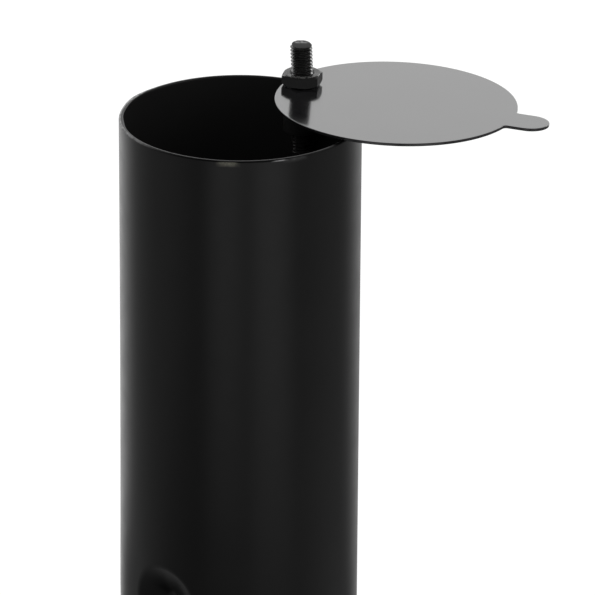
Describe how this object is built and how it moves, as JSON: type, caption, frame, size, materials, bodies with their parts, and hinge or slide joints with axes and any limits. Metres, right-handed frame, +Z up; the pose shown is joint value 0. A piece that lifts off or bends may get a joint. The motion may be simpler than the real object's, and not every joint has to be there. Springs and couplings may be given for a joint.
{
  "type": "barbecue chimney",
  "caption": "Round sheet-steel chimney of a barbecue grill with a flat damper lid swinging on an upright threaded stud, stop dimples, a spigot collar and a square bolted base flange.",
  "frame": {"origin": "centre of the base bolt pattern, on the underside of the gasket and on the axis of the flue tube", "axes": "+Z up the flue tube, -Y towards the viewer of the picture, +X to the side that the lid opens to"},
  "size_m": [0.1269, 0.089, 0.1844],
  "materials": {
    "flue_paint": "semi-matt black heat-resistant paint",
    "lid_paint": "glossy black enamel",
    "black_thread": "black oxide, satin",
    "screw_steel": "dull zinc",
    "gasket_fibre": "pressed ceramic fibre"
  },
  "bodies": {
    "chimney": {"flue_tube": "flue_paint", "pivot_lug": "flue_paint", "lug_weld": "flue_paint", "pivot_stud": "black_thread", "lid_nut": "black_thread", "base_flange": "flue_paint", "flange_gasket": "gasket_fibre", "spigot_collar": "flue_paint", "collar_weld": "flue_paint", "collar_screws": "screw_steel"},
    "lid": {"damper_lid": "lid_paint"}
  },
  "joints": [
    {"name": "lid_swing", "type": "hinge", "parent": "chimney", "child": "lid", "pos_m": [0.0164, 0.02208, 0.17187], "axis": [0.0282, 0.0205, 0.9994], "continuous": true}
  ]
}
